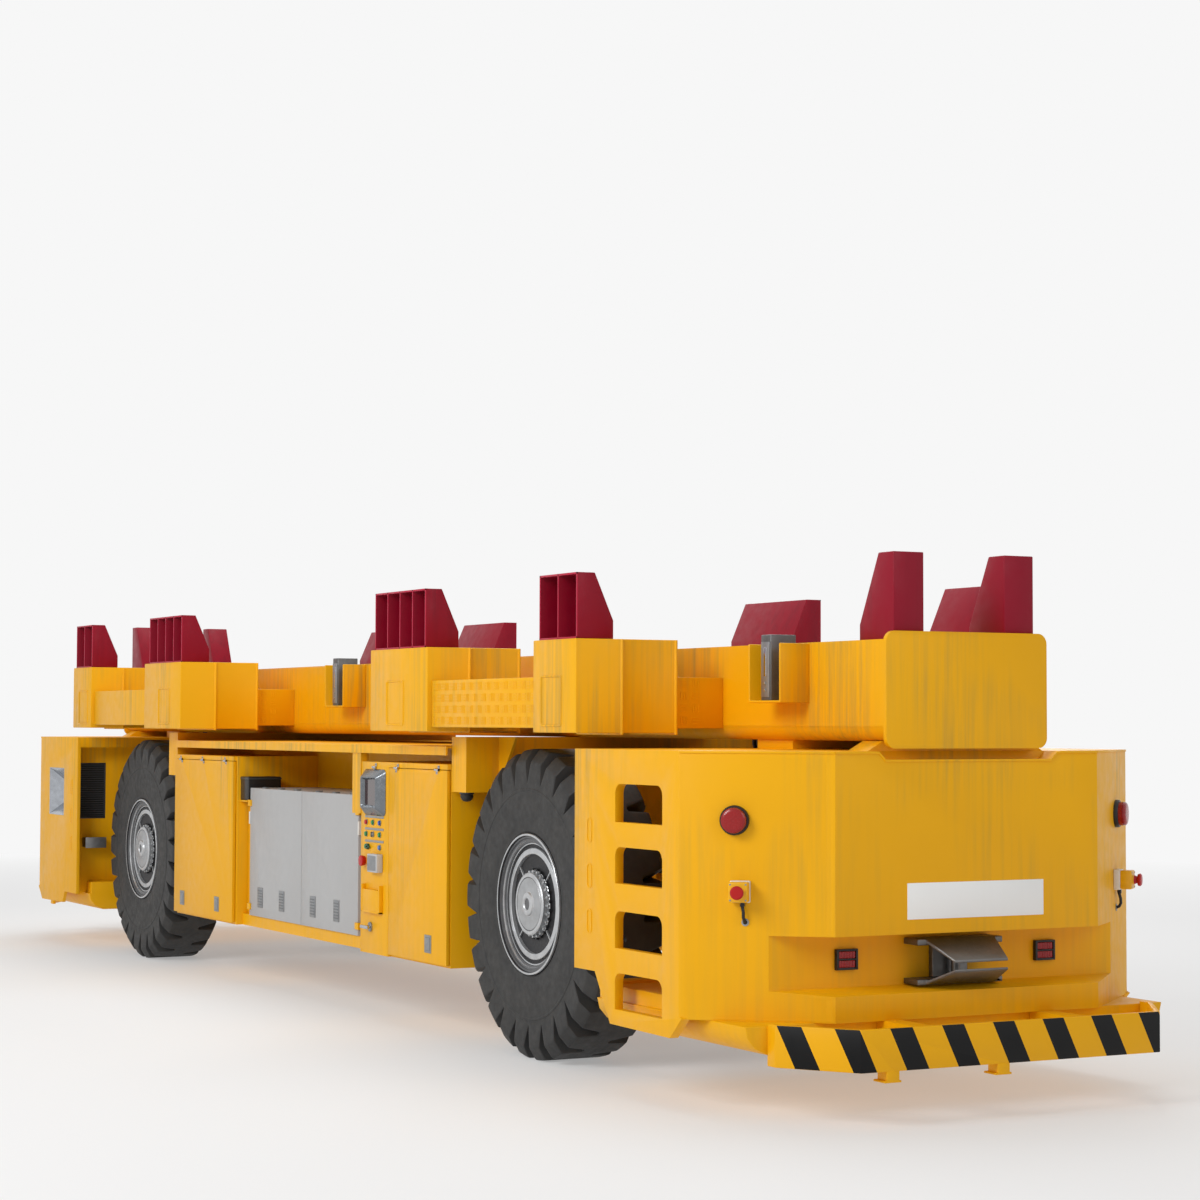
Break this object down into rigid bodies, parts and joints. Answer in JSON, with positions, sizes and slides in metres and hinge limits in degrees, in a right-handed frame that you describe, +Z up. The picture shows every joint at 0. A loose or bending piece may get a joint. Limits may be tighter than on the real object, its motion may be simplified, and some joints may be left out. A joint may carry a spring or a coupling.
{
  "type": "automated guided vehicle",
  "caption": "Long low driverless port vehicle that carries a shipping container on a load frame with red guides, over steered wheels at each end.",
  "frame": {"origin": "on the ground under the vehicle's middle", "axes": "+X to the front end, +Y to the left side, +Z up"},
  "size_m": [14.67, 3.17, 3.095],
  "materials": {
    "yellow_paint": "satin",
    "grey_paint": "satin",
    "panel_grey": "satin",
    "red_paint": "satin",
    "dark_paint": "satin",
    "dark_steel": "satin",
    "bare_steel": "satin",
    "rim": "satin",
    "tyre": "matte",
    "black_rubber": "matte",
    "black_plastic": "matte",
    "red_lens": "gloss",
    "stop_yellow": "satin",
    "chrome_trim": "polished",
    "scanner_glass": "gloss"
  },
  "bodies": {
    "chassis": {"spine_frame": "yellow_paint", "nose_front": "yellow_paint", "nose_rear": "yellow_paint", "belly_tubs": "yellow_paint", "bumpers": "yellow_paint", "batteries": "grey_paint", "connector_boxes": "black_plastic", "control_panels": "panel_grey", "load_beam": "yellow_paint", "load_pods": "yellow_paint", "walkway_boxes": "yellow_paint", "side_guides": "red_paint", "end_guides": "red_paint", "lock_boxes": "yellow_paint", "lock_posts": "bare_steel", "axles": "yellow_paint", "spring_blocks": "black_rubber", "drive_units": "dark_paint", "tow_couplings": "dark_steel", "lamp_bases": "black_plastic", "lamp_lenses": "red_lens", "stop_boxes": "stop_yellow", "scanner_frames": "chrome_trim", "scanner_glass": "scanner_glass", "grilles": "black_plastic", "cabinet_right_front": "yellow_paint", "cabinet_right_rear": "yellow_paint", "cabinet_left_front": "yellow_paint", "cabinet_left_rear": "yellow_paint"},
    "door_right_front": {"door_right_front": "yellow_paint"},
    "door_right_rear": {"door_right_rear": "yellow_paint"},
    "door_left_front": {"door_left_front": "yellow_paint"},
    "door_left_rear": {"door_left_rear": "yellow_paint"},
    "knuckle_front_right": {"knuckle_front_right": "dark_steel"},
    "wheel_front_right": {"wheel_front_right": "rim", "tyre_front_right": "tyre"},
    "knuckle_front_left": {"knuckle_front_left": "dark_steel"},
    "wheel_front_left": {"wheel_front_left": "rim", "tyre_front_left": "tyre"},
    "tie_rod_front": {"tie_rod_front": "dark_steel"},
    "knuckle_rear_right": {"knuckle_rear_right": "dark_steel"},
    "wheel_rear_right": {"wheel_rear_right": "rim", "tyre_rear_right": "tyre"},
    "knuckle_rear_left": {"knuckle_rear_left": "dark_steel"},
    "wheel_rear_left": {"wheel_rear_left": "rim", "tyre_rear_left": "tyre"},
    "tie_rod_rear": {"tie_rod_rear": "dark_steel"}
  },
  "joints": [
    {"name": "door_right_front_hinge", "type": "hinge", "parent": "chassis", "child": "door_right_front", "pos_m": [2.35, -1.364, 1.8145], "axis": [-1, 0, 0], "range_deg": [0, 85]},
    {"name": "door_right_rear_hinge", "type": "hinge", "parent": "chassis", "child": "door_right_rear", "pos_m": [-2.35, -1.364, 1.8145], "axis": [-1, 0, 0], "range_deg": [0, 85]},
    {"name": "door_left_front_hinge", "type": "hinge", "parent": "chassis", "child": "door_left_front", "pos_m": [2.35, 1.364, 1.8145], "axis": [1, 0, 0], "range_deg": [0, 85]},
    {"name": "door_left_rear_hinge", "type": "hinge", "parent": "chassis", "child": "door_left_rear", "pos_m": [-2.35, 1.364, 1.8145], "axis": [1, 0, 0], "range_deg": [0, 85]},
    {"name": "steer_front_right", "type": "hinge", "parent": "chassis", "child": "knuckle_front_right", "pos_m": [3.967, -0.9, 0.985], "axis": [0, 0, 1], "range_deg": [-25, 25]},
    {"name": "spin_front_right", "type": "hinge", "parent": "knuckle_front_right", "child": "wheel_front_right", "pos_m": [3.967, -1.05, 0.985], "axis": [0, 1, 0], "continuous": true},
    {"name": "steer_front_left", "type": "hinge", "parent": "chassis", "child": "knuckle_front_left", "pos_m": [3.967, 0.9, 0.985], "axis": [0, 0, 1], "range_deg": [-25, 25]},
    {"name": "spin_front_left", "type": "hinge", "parent": "knuckle_front_left", "child": "wheel_front_left", "pos_m": [3.967, 1.05, 0.985], "axis": [0, 1, 0], "continuous": true},
    {"name": "tie_front", "type": "hinge", "parent": "knuckle_front_left", "child": "tie_rod_front", "pos_m": [3.707, 0.9, 0.985], "axis": [0, 0, 1], "range_deg": [-25, 25]},
    {"name": "steer_rear_right", "type": "hinge", "parent": "chassis", "child": "knuckle_rear_right", "pos_m": [-3.967, -0.9, 0.985], "axis": [0, 0, 1], "range_deg": [-25, 25]},
    {"name": "spin_rear_right", "type": "hinge", "parent": "knuckle_rear_right", "child": "wheel_rear_right", "pos_m": [-3.967, -1.05, 0.985], "axis": [0, 1, 0], "continuous": true},
    {"name": "steer_rear_left", "type": "hinge", "parent": "chassis", "child": "knuckle_rear_left", "pos_m": [-3.967, 0.9, 0.985], "axis": [0, 0, 1], "range_deg": [-25, 25]},
    {"name": "spin_rear_left", "type": "hinge", "parent": "knuckle_rear_left", "child": "wheel_rear_left", "pos_m": [-3.967, 1.05, 0.985], "axis": [0, 1, 0], "continuous": true},
    {"name": "tie_rear", "type": "hinge", "parent": "knuckle_rear_left", "child": "tie_rod_rear", "pos_m": [-3.707, 0.9, 0.985], "axis": [0, 0, 1], "range_deg": [-25, 25]}
  ],
  "couplings": [
    {"joint": "steer_front_right", "follows": "steer_front_left", "ratio": 1},
    {"joint": "tie_front", "follows": "steer_front_left", "ratio": -1},
    {"joint": "steer_rear_right", "follows": "steer_rear_left", "ratio": 1},
    {"joint": "tie_rear", "follows": "steer_rear_left", "ratio": -1}
  ]
}
